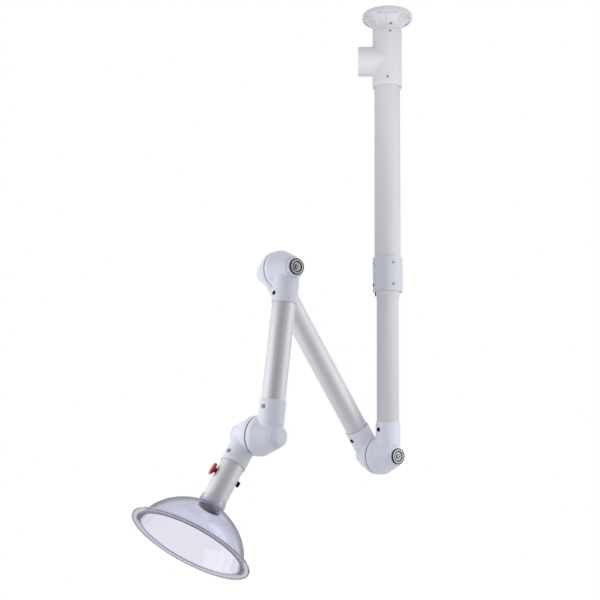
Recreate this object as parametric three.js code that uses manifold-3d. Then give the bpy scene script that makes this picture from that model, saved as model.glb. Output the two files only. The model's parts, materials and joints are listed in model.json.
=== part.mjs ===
// Ceiling-mounted fume extraction arm, in millimetres, +Z up.
// The origin is the centre of the ceiling flange's flat top face, and the duct spigot points along -X.
// Air goes up from the clear hood through three hollow friction joints and a telescopic column.
import * as THREE from "three";
import { mergeVertices } from "three/addons/utils/BufferGeometryUtils.js";
import Module from "manifold-3d";

const wasm = await Module();
wasm.setup();

// Arm tubes, and the links of the arm measured between joint axes.
const TUBE_R = 37.5;
const TUBE_WALL = 3;
const BOOM_LENGTH = 720;
const FOREARM_LENGTH = 530;
const WRIST_TO_HOOD_RIM = 390;

// Pose at rest, in degrees.
const ARM_AZIMUTH = 38.4;
const BOOM_TILT = 35.2;
const FOREARM_TILT = 6.6;
const WRIST_TURN = 13.6;
const WRIST_BEND = 29.3;

// Ceiling flange and tee, as heights below the ceiling and radii.
const FLANGE_R = 88;
const FLANGE_RIM_Z = -16.5;
const FLANGE_PLATE_Z = -8;
const FLANGE_NECK_Z = -62;
const FLANGE_PLUG_Z = -92;
const FLANGE_RIM_WIDTH = 6;
const FLANGE_PLUG_WALL = 4;
const FLARE_BOTTOM_Z = -44;
const FLARE_TOP_Z = -12;
const FLARE_BEND = [[56, -30], [66, -18]];
const RIB_COUNT = 8;
const RIB_WIDTH = 6;
const RIB_FOOT_Z = -50;
const RIB_KNEE = [60, -36];
const BOLT_CIRCLE_R = 74;
const BOLT_HOLE_R = 4.5;
const TEE_R = 51.5;
const TEE_BOTTOM_Z = -268;
const TEE_CHAMFER = 7;
const SPIGOT_Z = -169;
const SPIGOT_REACH = 103;
const SPIGOT_BORE_R = 47.5;
const SLEEVE_SWELL = 0.5;

// Telescopic column.
const UPPER_TUBE_R = 45;
const UPPER_TUBE_TOP_Z = -222;
const UPPER_TUBE_BOTTOM_Z = -932;
const COUPLING_R = 51;
const COUPLING_TOP_Z = -874;
const COUPLING_BOTTOM_Z = -994;
const COUPLING_STEP = 5;
const BUSH_RING_R = 40.5;
const BUSH_BOTTOM_Z = -1008;
const BUSH_GROOVE_DEPTH = 2.5;
const BUSH_GROOVE_LOW = 20;
const BUSH_GROOVE_HIGH = 28;
const BUSH_SCREW_AZIMUTH = -ARM_AZIMUTH;
const LOWER_TUBE_TOP_Z = -800;
const SLIDE_SEAL_HEIGHT = 22;
const SHOULDER_Z = -1545;

// Joint housing: a hollow bell on the joint axis with a tube socket across it.
const OFFSET = 44;
const SEAL_GAP = 2;
const BELL_RIM_R = 62.5;
const BELL_RIM_HEIGHT = 18;
const BELL_END = 82;
const BELL_END_R = 34;
const BELL_END_WALL = 5;
const BELL_BEND = [[57, 30], [50, 46], [43.5, 63]];
const BELL_HOLLOW_WAIST = [46, 45];
const HOUSING_WALL = 3.5;
const SOCKET_R = 41.3;
const SOCKET_END = 112;
const SOCKET_SEAT = 62;
const SOCKET_NOSE = [[0, 10], [30, 15], [38, 26], [SOCKET_R, 37]];
const SPOT_FACE_R = 35;
const SOCKET_HOLLOW_TIP = 18;
const SOCKET_HOLLOW_ROUND = 42;
const SCREW_FROM_SOCKET_END = 25;
const SCREW_SHANK_R = 3;
const SCREW_HEAD_R = 7;
const SCREW_HEAD_HEIGHT = 3;

// Tension hardware on each joint axis.
const ROD_R = 6;
const ROD_HEAD_R = 8.5;
const ROD_HEAD_HEIGHT = 3;
const ROD_HEAD_SINK = 1.6;
const SEAL_WIDTH = 9;
const WASHER_THICKNESS = 2;
const NUT_THICKNESS = 4.5;
const NUT_R = 10.4;
const CAP_FACE = 92;
const CAP_ROOM_R = 13.5;
const CAP_FACE_R = 24;
const CAP_SHOULDER_R = 30;
const CAP_SHOULDER_DROP = 3.5;
const KNOB_R = 32.5;
const KNOB_FACE = 97;
const KNOB_RING_R = 29.5;
const KNOB_RING_WIDTH = 4.5;
const KNOB_RING_LOW = 88.5;
const BEARING_R = 20;
const BEARING_LOW = 89.5;
const BEARING_FACE = 95;
const BEARING_GROOVE_R = [11.5, 15.5];
const BEARING_GROOVE_DEPTH = 1.5;

// Butterfly damper in the tube above the hood.
const DAMPER_FROM_WRIST = 155;
const DAMPER_AZIMUTH = -29;
const DAMPER_SHAFT_R = 5;
const DAMPER_DISC_R = 33.6;
const DAMPER_DISC_THICKNESS = 3;
const DAMPER_BOSS_R = 8;
const DAMPER_BOSS_HALF = 20;
const DAMPER_BUSH_R = 7.5;
const DAMPER_BUSH_HEIGHT = 5;
const DAMPER_NUT_R = 9;
const DAMPER_NUT_HEIGHT = 9;
const DAMPER_KNOB_R = 19;
const DAMPER_KNOB_HEIGHT = 10;
const DAMPER_KNOB_EDGE = 3;
const DAMPER_KNOB_SCALLOPS = 6;
const DAMPER_SCALLOP_R = 6;

// Clear hood, measured up from its rim.
const HOOD_RIM_R = 191;
const HOOD_RIM_INNER_R = 175;
const HOOD_MOUTH_LEDGE = 10;
const HOOD_LIP = 6;
const HOOD_WALL = 3;
const HOOD_FLARE = [[168, 8], [158.5, 34], [145, 58], [123, 83], [95, 104], [66, 120], [46, 130]];
const HOOD_NECK_FOOT = 4;
const HOOD_NECK_EDGE = 2;
const HOOD_NECK_BOTTOM = 136;
const HOOD_NECK_TOP = 157;
const DAMPER_TUBE_END = 125;

// Gap between faces, radial clearance of a round seat, small chamfer, and reach of a cutter past a face.
const GAP = 0.4;
const SLIP = 0.8;
const EDGE = 2;
const PAST = 5;

// Facets round the turned shapes.
const HOOD_FACETS = 32;
const COLUMN_FACETS = 24;
const FACETS = 20;
const KNOB_FACETS = 14;
const SMALL_FACETS = 8;

const FINISHES = {
  white_plastic: { color: 0xe9eaf0, roughness: 0.42, metalness: 0 },
  clear_plastic: { color: 0xdfe3ec, roughness: 0.08, metalness: 0, transparent: true, opacity: 0.3 },
  black_rubber: { color: 0x1b1b1d, roughness: 0.75, metalness: 0 },
  black_plastic: { color: 0x151517, roughness: 0.45, metalness: 0 },
  red_plastic: { color: 0xc81e1a, roughness: 0.35, metalness: 0 },
  steel: { color: 0xb9bbbf, roughness: 0.28, metalness: 1 },
};

const radians = THREE.MathUtils.degToRad;

// Shape turned about Y from [radius, height] points that run up the outside.
function turnedY(points, facets = FACETS) {
  const outline = points.map(([r, y]) => new THREE.Vector2(r, y));
  return new THREE.LatheGeometry(outline, facets);
}

function turnedZ(points, facets = FACETS) {
  return turnedY(points, facets).rotateX(Math.PI / 2);
}

function turnedX(points, facets = FACETS) {
  return turnedY(points, facets).rotateZ(-Math.PI / 2);
}

function ringOutline(inner, outer, low, high) {
  return [[inner, low], [outer, low], [outer, high], [inner, high], [inner, low]];
}

function rodOutline(r, low, high) {
  return [[0, low], [r, low], [r, high], [0, high]];
}

// Smooth outline through a few [radius, height] points.
function smoothOutline(points, steps) {
  const curve = new THREE.SplineCurve(points.map(([r, y]) => new THREE.Vector2(r, y)));
  return curve.getPoints(steps).map((p) => [p.x, p.y]);
}

function tubeAlongZ(low, high, outer = TUBE_R, facets = FACETS) {
  return turnedZ(ringOutline(outer - TUBE_WALL, outer, low, high), facets);
}

function solid(geometry) {
  const bare = geometry.clone();
  bare.deleteAttribute("normal");
  bare.deleteAttribute("uv");
  const merged = mergeVertices(bare, 1e-4);
  const mesh = new wasm.Mesh({
    numProp: 3,
    vertProperties: new Float32Array(merged.attributes.position.array),
    triVerts: new Uint32Array(merged.index.array),
  });
  return new wasm.Manifold(mesh);
}

function geometryOf(body) {
  const mesh = body.getMesh();
  const geometry = new THREE.BufferGeometry();
  geometry.setAttribute("position", new THREE.BufferAttribute(mesh.vertProperties, 3));
  geometry.setIndex(new THREE.BufferAttribute(mesh.triVerts, 1));
  geometry.computeVertexNormals();
  return geometry;
}

function join(...geometries) {
  return geometries.map(solid).reduce((whole, piece) => whole.add(piece));
}

function cut(body, ...geometries) {
  return geometries.map(solid).reduce((rest, tool) => rest.subtract(tool), body);
}

function add(parent, name, geometry, finish) {
  const mesh = new THREE.Mesh(geometry, new THREE.MeshStandardMaterial(FINISHES[finish]));
  mesh.name = name;
  parent.add(mesh);
}

function group(parent, { position = [0, 0, 0], turn = [0, 0, 0] }) {
  const made = new THREE.Group();
  made.position.set(...position);
  made.rotation.set(...turn.map(radians));
  parent.add(made);
  return made;
}

// Ceiling flange: closed plate, raised rim, flared neck with ribs, and a plug that enters the tee.
function ceilingFlange() {
  const plugR = UPPER_TUBE_R;
  const plugBore = plugR - FLANGE_PLUG_WALL;
  const rimInner = FLANGE_R - FLANGE_RIM_WIDTH;
  const flare = smoothOutline([[TEE_R, FLARE_BOTTOM_Z], ...FLARE_BEND, [rimInner, FLARE_TOP_Z]], 4);
  const body = turnedZ(
    [
      [0, FLANGE_PLATE_Z],
      [plugBore, FLANGE_PLATE_Z],
      [plugBore, FLANGE_PLUG_Z],
      [plugR, FLANGE_PLUG_Z],
      [plugR, FLANGE_NECK_Z],
      [TEE_R, FLANGE_NECK_Z],
      ...flare,
      [rimInner, FLANGE_RIM_Z],
      [FLANGE_R - EDGE, FLANGE_RIM_Z],
      [FLANGE_R, FLANGE_RIM_Z + EDGE],
      [FLANGE_R, 0],
      [0, 0],
    ],
    COLUMN_FACETS,
  );
  const ribInner = TEE_R - EDGE;
  const ribOuter = rimInner + EDGE;
  const ribTop = FLANGE_PLATE_Z + EDGE;
  const ribShape = new THREE.Shape();
  ribShape.moveTo(ribInner, RIB_FOOT_Z);
  ribShape.lineTo(...RIB_KNEE);
  ribShape.lineTo(ribOuter, FLANGE_RIM_Z + EDGE);
  ribShape.lineTo(ribOuter, ribTop);
  ribShape.lineTo(ribInner, ribTop);
  ribShape.closePath();
  const holes = [];
  let flange = solid(body);
  for (let i = 0; i < RIB_COUNT; i += 1) {
    const angle = (i * 2 * Math.PI) / RIB_COUNT - Math.PI / 2;
    const rib = new THREE.ExtrudeGeometry(ribShape, { depth: RIB_WIDTH, bevelEnabled: false });
    rib.translate(0, 0, -RIB_WIDTH / 2).rotateX(Math.PI / 2).rotateZ(angle);
    flange = flange.add(solid(rib));
    const hole = turnedZ(rodOutline(BOLT_HOLE_R, RIB_FOOT_Z, PAST), SMALL_FACETS);
    holes.push(hole.translate(BOLT_CIRCLE_R, 0, 0).rotateZ(angle + Math.PI / RIB_COUNT));
  }
  return geometryOf(cut(flange, ...holes));
}

// Tee: a straight run over the flange plug and the upper tube, with the duct spigot on one side.
function teeFitting() {
  const run = turnedZ(
    [
      [0, TEE_BOTTOM_Z],
      [TEE_R - EDGE, TEE_BOTTOM_Z],
      [TEE_R + SLEEVE_SWELL, TEE_BOTTOM_Z + TEE_CHAMFER],
      [TEE_R + SLEEVE_SWELL, SPIGOT_Z - TEE_R],
      [TEE_R, SPIGOT_Z],
      [TEE_R, FLANGE_NECK_Z - GAP],
      [0, FLANGE_NECK_Z - GAP],
    ],
    COLUMN_FACETS,
  );
  const spigot = turnedX(
    [
      [0, -SPIGOT_REACH],
      [TEE_R - EDGE / 2, -SPIGOT_REACH],
      [TEE_R, -SPIGOT_REACH + EDGE],
      [TEE_R, 0],
      [0, 0],
    ],
    COLUMN_FACETS,
  );
  const runBore = turnedZ(rodOutline(UPPER_TUBE_R + SLIP, TEE_BOTTOM_Z - PAST, 0), COLUMN_FACETS);
  const spigotBore = turnedX(rodOutline(SPIGOT_BORE_R, -SPIGOT_REACH - PAST, 0), COLUMN_FACETS);
  spigot.translate(0, 0, SPIGOT_Z);
  spigotBore.translate(0, 0, SPIGOT_Z);
  return geometryOf(cut(join(run, spigot), runBore, spigotBore));
}

// Coupling sleeve: the upper tube seats on its inner step, and the swivel bush turns below it.
function columnCoupling() {
  const bore = UPPER_TUBE_R + SLIP;
  const stepR = UPPER_TUBE_R - TUBE_WALL;
  const stepTop = UPPER_TUBE_BOTTOM_Z - GAP;
  return turnedZ(
    [
      [bore, COUPLING_BOTTOM_Z],
      [COUPLING_R - EDGE, COUPLING_BOTTOM_Z],
      [COUPLING_R, COUPLING_BOTTOM_Z + EDGE],
      [COUPLING_R, COUPLING_TOP_Z - EDGE],
      [COUPLING_R - EDGE, COUPLING_TOP_Z],
      [bore, COUPLING_TOP_Z],
      [bore, stepTop],
      [stepR, stepTop],
      [stepR, stepTop - COUPLING_STEP],
      [bore, stepTop - COUPLING_STEP],
      [bore, COUPLING_BOTTOM_Z],
    ],
    COLUMN_FACETS,
  );
}

// Swivel bush: grooved collar inside the coupling, with a clamp ring showing below it.
function swivelBush() {
  const top = UPPER_TUBE_BOTTOM_Z - COUPLING_STEP - 3 * GAP;
  const inner = TUBE_R + SLIP;
  const outer = UPPER_TUBE_R;
  const ringTop = COUPLING_BOTTOM_Z + EDGE;
  const grooveLow = COUPLING_BOTTOM_Z + BUSH_GROOVE_LOW;
  const grooveHigh = COUPLING_BOTTOM_Z + BUSH_GROOVE_HIGH;
  const body = turnedZ(
    [
      [inner, BUSH_BOTTOM_Z],
      [BUSH_RING_R - EDGE / 2, BUSH_BOTTOM_Z],
      [BUSH_RING_R, BUSH_BOTTOM_Z + EDGE],
      [BUSH_RING_R, ringTop],
      [outer, ringTop],
      [outer, grooveLow],
      [outer - BUSH_GROOVE_DEPTH, grooveLow],
      [outer - BUSH_GROOVE_DEPTH, grooveHigh],
      [outer, grooveHigh],
      [outer, top],
      [inner, top],
      [inner, BUSH_BOTTOM_Z],
    ],
    COLUMN_FACETS,
  );
  return geometryOf(cut(solid(body), bushScrewHole()));
}

const BUSH_SCREW_Z = (BUSH_BOTTOM_Z + COUPLING_BOTTOM_Z) / 2;

function bushScrewHole() {
  const hole = turnedX(rodOutline(SCREW_SHANK_R + GAP, -BUSH_RING_R - PAST, -TUBE_R + PAST), SMALL_FACETS);
  return hole.rotateZ(radians(BUSH_SCREW_AZIMUTH)).translate(0, 0, BUSH_SCREW_Z);
}

// Button-head screw along X, its head out at -X on a seat of the given radius.
function buttonScrew(seatR, tipR) {
  const face = -seatR - GAP;
  return turnedX(
    [
      [0, face - SCREW_HEAD_HEIGHT],
      [SCREW_HEAD_R - EDGE, face - SCREW_HEAD_HEIGHT],
      [SCREW_HEAD_R, face - SCREW_HEAD_HEIGHT + EDGE],
      [SCREW_HEAD_R, face],
      [SCREW_SHANK_R, face],
      [SCREW_SHANK_R, -tipR],
      [0, -tipR],
    ],
    SMALL_FACETS,
  );
}

// Joint housing, open at y = 0 and closing along +Y, with its socket along +Z.
// The screw hole of the socket is on its -X side, or on +X when flipped.
function jointHousing(flipped) {
  const rim = [BELL_RIM_R, BELL_RIM_HEIGHT];
  const outside = smoothOutline([rim, ...BELL_BEND, [BELL_END_R, BELL_END]], 5);
  const bell = turnedY([
    [0, SEAL_GAP],
    [BELL_RIM_R, SEAL_GAP],
    ...outside,
    [0, BELL_END],
  ]);
  const bellHollow = turnedY([
    [0, 0],
    [BELL_RIM_R - HOUSING_WALL, 0],
    [BELL_RIM_R - HOUSING_WALL, BELL_RIM_HEIGHT - HOUSING_WALL],
    BELL_HOLLOW_WAIST,
    [BELL_END_R - HOUSING_WALL, BELL_END - BELL_END_WALL],
    [0, BELL_END - BELL_END_WALL],
  ]);
  const socket = turnedZ([
    ...SOCKET_NOSE,
    [SOCKET_R, SOCKET_END],
    [0, SOCKET_END],
  ]);
  const seatR = TUBE_R + SLIP;
  const airwayR = TUBE_R - TUBE_WALL;
  const socketHollow = turnedZ([
    [0, SOCKET_HOLLOW_TIP],
    [airwayR, SOCKET_HOLLOW_ROUND],
    [airwayR, SOCKET_SEAT],
    [seatR, SOCKET_SEAT],
    [seatR, SOCKET_END + PAST],
    [0, SOCKET_END + PAST],
  ]);
  socket.translate(0, OFFSET, 0);
  socketHollow.translate(0, OFFSET, 0);
  const rodHole = turnedY(rodOutline(ROD_R + SLIP, 0, BELL_END + PAST), SMALL_FACETS);
  const spotFace = turnedY(rodOutline(SPOT_FACE_R, BELL_END, BELL_END + PAST), KNOB_FACETS);
  const screwOutline = rodOutline(SCREW_SHANK_R + GAP, -SOCKET_R - PAST, -TUBE_R + PAST);
  const screwHole = placedInSocket(turnedX(screwOutline, SMALL_FACETS), flipped);
  return geometryOf(cut(join(bell, socket), bellHollow, socketHollow, rodHole, spotFace, screwHole));
}

function placedInSocket(geometry, flipped) {
  geometry.rotateZ(flipped ? Math.PI : 0);
  return geometry.translate(0, OFFSET, SOCKET_END - SCREW_FROM_SOCKET_END);
}

// Rubber ring squeezed between the two bells of a joint.
function sealRing() {
  const half = SEAL_GAP - GAP;
  const outer = BELL_RIM_R - EDGE;
  return turnedY(ringOutline(outer - SEAL_WIDTH, outer, -half, half), KNOB_FACETS);
}

// Tension rod with a round head at the knob, running back to its nut at -Y.
const WASHER_SEAT = -BELL_END - GAP;
const NUT_SEAT = WASHER_SEAT - WASHER_THICKNESS - GAP;
const THREAD_R = ROD_R - 1;

function tensionRod() {
  const headSeat = KNOB_FACE - ROD_HEAD_SINK;
  const end = NUT_SEAT - NUT_THICKNESS - GAP;
  return turnedY(
    [
      [0, end],
      [THREAD_R, end],
      [THREAD_R, -BELL_END],
      [ROD_R, -BELL_END],
      [ROD_R, headSeat],
      [ROD_HEAD_R, headSeat],
      [ROD_HEAD_R - EDGE, headSeat + ROD_HEAD_HEIGHT],
      [0, headSeat + ROD_HEAD_HEIGHT],
    ],
    SMALL_FACETS,
  );
}

function rodWasher() {
  const low = WASHER_SEAT - WASHER_THICKNESS;
  return turnedY(ringOutline(THREAD_R + GAP, CAP_ROOM_R - EDGE, low, WASHER_SEAT), SMALL_FACETS);
}

function rodNut() {
  const low = NUT_SEAT - NUT_THICKNESS;
  const hexagon = turnedY(rodOutline(NUT_R, low, NUT_SEAT), 6);
  const thread = turnedY(rodOutline(THREAD_R + GAP, low - PAST, NUT_SEAT + PAST), SMALL_FACETS);
  return geometryOf(cut(solid(hexagon), thread));
}

// Blank cap that covers the nut on the far end of a joint.
function endCap() {
  return turnedY(
    [
      [0, -CAP_FACE],
      [CAP_FACE_R, -CAP_FACE],
      [CAP_SHOULDER_R, -CAP_FACE + CAP_SHOULDER_DROP],
      [BELL_END_R - EDGE / 2, -BELL_END - GAP],
      [CAP_ROOM_R, -BELL_END - GAP],
      [CAP_ROOM_R, -CAP_FACE + EDGE],
      [0, -CAP_FACE + EDGE],
    ],
    KNOB_FACETS,
  );
}

// Tension knob: white body, black grip ring and a steel bearing let into its face.
// A skirted body stands round the ring, so only the ring's face shows.
function knobBody(skirted) {
  const base = BELL_END + GAP;
  const bore = ROD_R + GAP;
  const hub = KNOB_RING_R - KNOB_RING_WIDTH;
  const recess = BEARING_R + GAP;
  const skirt = [
    [KNOB_R, KNOB_FACE - EDGE],
    [KNOB_R - EDGE, KNOB_FACE],
    [KNOB_RING_R + GAP, KNOB_FACE],
    [KNOB_RING_R + GAP, KNOB_RING_LOW],
  ];
  const shoulder = [[KNOB_RING_R + SLEEVE_SWELL, KNOB_RING_LOW]];
  return turnedY(
    [
      [bore, base],
      [KNOB_R, base],
      ...(skirted ? skirt : shoulder),
      [hub, KNOB_RING_LOW],
      [hub, KNOB_FACE - EDGE / 2],
      [recess, KNOB_FACE - EDGE / 2],
      [recess, BEARING_LOW],
      [bore, BEARING_LOW],
      [bore, base],
    ],
    KNOB_FACETS,
  );
}

function knobRing() {
  const inner = KNOB_RING_R - KNOB_RING_WIDTH + GAP;
  return turnedY(
    [
      [inner, KNOB_RING_LOW + GAP],
      [KNOB_RING_R, KNOB_RING_LOW + GAP],
      [KNOB_RING_R, KNOB_FACE - EDGE],
      [KNOB_RING_R - EDGE, KNOB_FACE],
      [inner, KNOB_FACE],
      [inner, KNOB_RING_LOW + GAP],
    ],
    KNOB_FACETS,
  );
}

function knobBearing() {
  const bore = ROD_R + GAP;
  const [grooveInner, grooveOuter] = BEARING_GROOVE_R;
  const grooveLow = BEARING_FACE - BEARING_GROOVE_DEPTH;
  return turnedY(
    [
      [bore, BEARING_LOW + GAP],
      [BEARING_R, BEARING_LOW + GAP],
      [BEARING_R, BEARING_FACE],
      [grooveOuter, BEARING_FACE],
      [grooveOuter, grooveLow],
      [grooveInner, grooveLow],
      [grooveInner, BEARING_FACE],
      [bore, BEARING_FACE],
      [bore, BEARING_LOW + GAP],
    ],
    KNOB_FACETS,
  );
}

// Damper tube with the two cross holes for its shaft.
function damperTube() {
  const low = DAMPER_TUBE_END - WRIST_TO_HOOD_RIM;
  const holes = turnedX(rodOutline(DAMPER_SHAFT_R + SLIP, -TUBE_R - PAST, TUBE_R + PAST), SMALL_FACETS);
  holes.rotateZ(radians(DAMPER_AZIMUTH)).translate(0, 0, -DAMPER_FROM_WRIST);
  return geometryOf(cut(solid(tubeAlongZ(low, -SOCKET_SEAT - GAP)), holes));
}

// Damper pieces about a shaft along X: the knob is on the -X end, the nut on the +X end.
const DAMPER_SEAT = TUBE_R + GAP;
const DAMPER_KNOB_SEAT = DAMPER_SEAT + DAMPER_BUSH_HEIGHT + GAP;
const DAMPER_KNOB_TOP = DAMPER_KNOB_SEAT + DAMPER_KNOB_HEIGHT;

function damperDisc() {
  const half = DAMPER_DISC_THICKNESS / 2;
  const blade = turnedY(rodOutline(DAMPER_DISC_R, -half, half));
  const boss = turnedX(rodOutline(DAMPER_BOSS_R, -DAMPER_BOSS_HALF, DAMPER_BOSS_HALF), SMALL_FACETS);
  const bore = turnedX(rodOutline(DAMPER_SHAFT_R + GAP, -TUBE_R, TUBE_R), SMALL_FACETS);
  return geometryOf(cut(join(blade, boss), bore));
}

function damperShaft() {
  const knobEnd = DAMPER_KNOB_EDGE - DAMPER_KNOB_TOP;
  const nutEnd = DAMPER_SEAT + DAMPER_NUT_HEIGHT - DAMPER_KNOB_EDGE;
  return turnedX(rodOutline(DAMPER_SHAFT_R, knobEnd, nutEnd), SMALL_FACETS);
}

function damperBush() {
  const bore = DAMPER_SHAFT_R + SLIP;
  return turnedX(ringOutline(bore, DAMPER_BUSH_R, GAP - DAMPER_KNOB_SEAT, -DAMPER_SEAT), SMALL_FACETS);
}

function damperNut() {
  const top = DAMPER_SEAT + DAMPER_NUT_HEIGHT;
  const bore = DAMPER_SHAFT_R + GAP;
  return turnedX(
    [
      [bore, DAMPER_SEAT],
      [DAMPER_NUT_R, DAMPER_SEAT],
      [DAMPER_NUT_R, top - EDGE],
      [DAMPER_NUT_R - EDGE, top],
      [0, top],
      [0, top - EDGE],
      [bore, top - EDGE],
      [bore, DAMPER_SEAT],
    ],
    SMALL_FACETS,
  );
}

function damperKnob() {
  const body = turnedX(
    [
      [0, -DAMPER_KNOB_TOP],
      [DAMPER_KNOB_R - DAMPER_KNOB_EDGE, -DAMPER_KNOB_TOP],
      [DAMPER_KNOB_R, DAMPER_KNOB_EDGE - DAMPER_KNOB_TOP],
      [DAMPER_KNOB_R, -DAMPER_KNOB_EDGE - DAMPER_KNOB_SEAT],
      [DAMPER_KNOB_R - DAMPER_KNOB_EDGE, -DAMPER_KNOB_SEAT],
      [0, -DAMPER_KNOB_SEAT],
    ],
    FACETS,
  );
  const boreEnd = EDGE - DAMPER_KNOB_TOP;
  const bore = rodOutline(DAMPER_SHAFT_R + GAP, boreEnd, PAST - DAMPER_KNOB_SEAT);
  const tools = [turnedX(bore, SMALL_FACETS)];
  for (let i = 0; i < DAMPER_KNOB_SCALLOPS; i += 1) {
    const scallop = turnedX(rodOutline(DAMPER_SCALLOP_R, -DAMPER_KNOB_TOP - PAST, 0), SMALL_FACETS);
    scallop.translate(0, 0, DAMPER_KNOB_R + DAMPER_SCALLOP_R / 2);
    tools.push(scallop.rotateX((i * 2 * Math.PI) / DAMPER_KNOB_SCALLOPS));
  }
  return geometryOf(cut(solid(body), ...tools));
}

// Clear hood: flat rim with a lip, flared wall, dome and a tapered neck over the damper tube.
function hood() {
  const wall = smoothOutline(HOOD_FLARE, 6);
  const slant = HOOD_WALL * Math.SQRT1_2;
  const inside = wall.map(([r, y]) => [r - HOOD_WALL, y - slant]).reverse();
  const mouth = HOOD_RIM_INNER_R - HOOD_MOUTH_LEDGE;
  const neckBore = TUBE_R + SLIP;
  return turnedZ(
    [
      [mouth, 0],
      [HOOD_RIM_R, 0],
      [HOOD_RIM_R, HOOD_LIP],
      [HOOD_RIM_R - HOOD_WALL, HOOD_LIP],
      [HOOD_RIM_R - HOOD_WALL, HOOD_WALL],
      [HOOD_RIM_INNER_R, HOOD_WALL],
      ...wall,
      [neckBore + HOOD_NECK_FOOT, HOOD_NECK_BOTTOM],
      [neckBore + HOOD_NECK_EDGE, HOOD_NECK_TOP],
      [neckBore, HOOD_NECK_TOP],
      [neckBore, HOOD_NECK_BOTTOM - HOOD_WALL],
      ...inside,
      [mouth, 0],
    ],
    HOOD_FACETS,
  );
}

// Hardware of one joint, in the frame of its interface, with the knob towards +Y or, for -1, towards -Y.
function addTensionSet(parent, joint, knobSide, skirted = false) {
  const set = group(parent, { turn: [0, 0, knobSide > 0 ? 0 : 180] });
  add(set, `${joint}_seal_ring`, sealRing(), "black_rubber");
  add(set, `${joint}_tension_rod`, tensionRod(), "steel");
  add(set, `${joint}_rod_washer`, rodWasher(), "steel");
  add(set, `${joint}_rod_nut`, rodNut(), "steel");
  add(set, `${joint}_end_cap`, endCap(), "white_plastic");
  add(set, `${joint}_knob`, knobBody(skirted), "white_plastic");
  add(set, `${joint}_knob_ring`, knobRing(), "black_rubber");
  add(set, `${joint}_knob_bearing`, knobBearing(), "steel");
}

// Housing that closes towards side Y, with its socket along socket Z and its screw always on -X.
function addHousing(parent, name, screwName, { side, socket, screwFinish }) {
  const standing = group(parent, { turn: [0, socket > 0 ? 0 : 180, 0] });
  const half = group(standing, { turn: [0, 0, side > 0 ? 0 : 180] });
  const flipped = side * socket < 0;
  const screw = buttonScrew(SOCKET_R, TUBE_R + SLIP);
  add(half, name, jointHousing(flipped), "white_plastic");
  add(half, screwName, placedInSocket(screw, flipped), screwFinish);
}

const part = new THREE.Group();
const upperTube = tubeAlongZ(UPPER_TUBE_BOTTOM_Z, UPPER_TUBE_TOP_Z, UPPER_TUBE_R, COLUMN_FACETS);
add(part, "ceiling_flange", ceilingFlange(), "white_plastic");
add(part, "tee_fitting", teeFitting(), "white_plastic");
add(part, "upper_tube", upperTube, "white_plastic");
add(part, "column_coupling", columnCoupling(), "white_plastic");

const lowerColumn = group(part, { turn: [0, 0, ARM_AZIMUTH] });
const lowerTube = tubeAlongZ(SHOULDER_Z + SOCKET_SEAT + GAP, LOWER_TUBE_TOP_Z);
const bushScrew = buttonScrew(BUSH_RING_R, TUBE_R + SLIP);
bushScrew.rotateZ(radians(BUSH_SCREW_AZIMUTH)).translate(0, 0, BUSH_SCREW_Z);
const slideSeal = ringOutline(
  TUBE_R + GAP,
  UPPER_TUBE_R - TUBE_WALL - SLIP,
  LOWER_TUBE_TOP_Z - SLIDE_SEAL_HEIGHT,
  LOWER_TUBE_TOP_Z,
);
add(lowerColumn, "swivel_bush", swivelBush(), "white_plastic");
add(lowerColumn, "bush_clamp_screw", bushScrew, "black_plastic");
add(lowerColumn, "slide_seal_ring", turnedZ(slideSeal), "black_rubber");
add(lowerColumn, "lower_tube", lowerTube, "white_plastic");

const shoulder = group(lowerColumn, { position: [0, OFFSET, SHOULDER_Z] });
addHousing(shoulder, "shoulder_knob_housing", "shoulder_column_screw", {
  side: -1,
  socket: 1,
  screwFinish: "black_plastic",
});
addTensionSet(shoulder, "shoulder", -1);

const boom = group(shoulder, { turn: [0, -BOOM_TILT, 0] });
const boomTube = tubeAlongZ(SOCKET_SEAT + GAP, BOOM_LENGTH - SOCKET_SEAT - GAP);
addHousing(boom, "shoulder_cap_housing", "shoulder_boom_screw", {
  side: 1,
  socket: 1,
  screwFinish: "black_plastic",
});
add(boom, "boom_tube", boomTube.translate(0, OFFSET, 0), "white_plastic");

const elbow = group(boom, { position: [0, 0, BOOM_LENGTH] });
addHousing(elbow, "elbow_cap_housing", "elbow_boom_screw", {
  side: 1,
  socket: -1,
  screwFinish: "black_plastic",
});
addTensionSet(elbow, "elbow", -1);

const forearm = group(elbow, { turn: [0, BOOM_TILT + FOREARM_TILT, 0] });
const forearmTube = tubeAlongZ(SOCKET_SEAT + GAP - FOREARM_LENGTH, -SOCKET_SEAT - GAP);
addHousing(forearm, "elbow_knob_housing", "elbow_forearm_screw", {
  side: -1,
  socket: -1,
  screwFinish: "black_plastic",
});
add(forearm, "forearm_tube", forearmTube.translate(0, -OFFSET, 0), "white_plastic");

const forearmEnd = group(forearm, { position: [0, -OFFSET, -FOREARM_LENGTH], turn: [0, 0, WRIST_TURN] });
const wrist = group(forearmEnd, { position: [0, OFFSET, 0] });
addHousing(wrist, "wrist_cap_housing", "wrist_forearm_screw", {
  side: -1,
  socket: 1,
  screwFinish: "steel",
});
addTensionSet(wrist, "wrist", 1, true);

const head = group(wrist, { turn: [0, WRIST_BEND, 0] });
addHousing(head, "wrist_knob_housing", "wrist_damper_screw", {
  side: 1,
  socket: -1,
  screwFinish: "steel",
});
const headTube = group(head, { position: [0, OFFSET, 0] });
const hoodRim = group(headTube, { position: [0, 0, -WRIST_TO_HOOD_RIM] });
add(headTube, "damper_tube", damperTube(), "white_plastic");
add(hoodRim, "hood", hood(), "clear_plastic");

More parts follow.
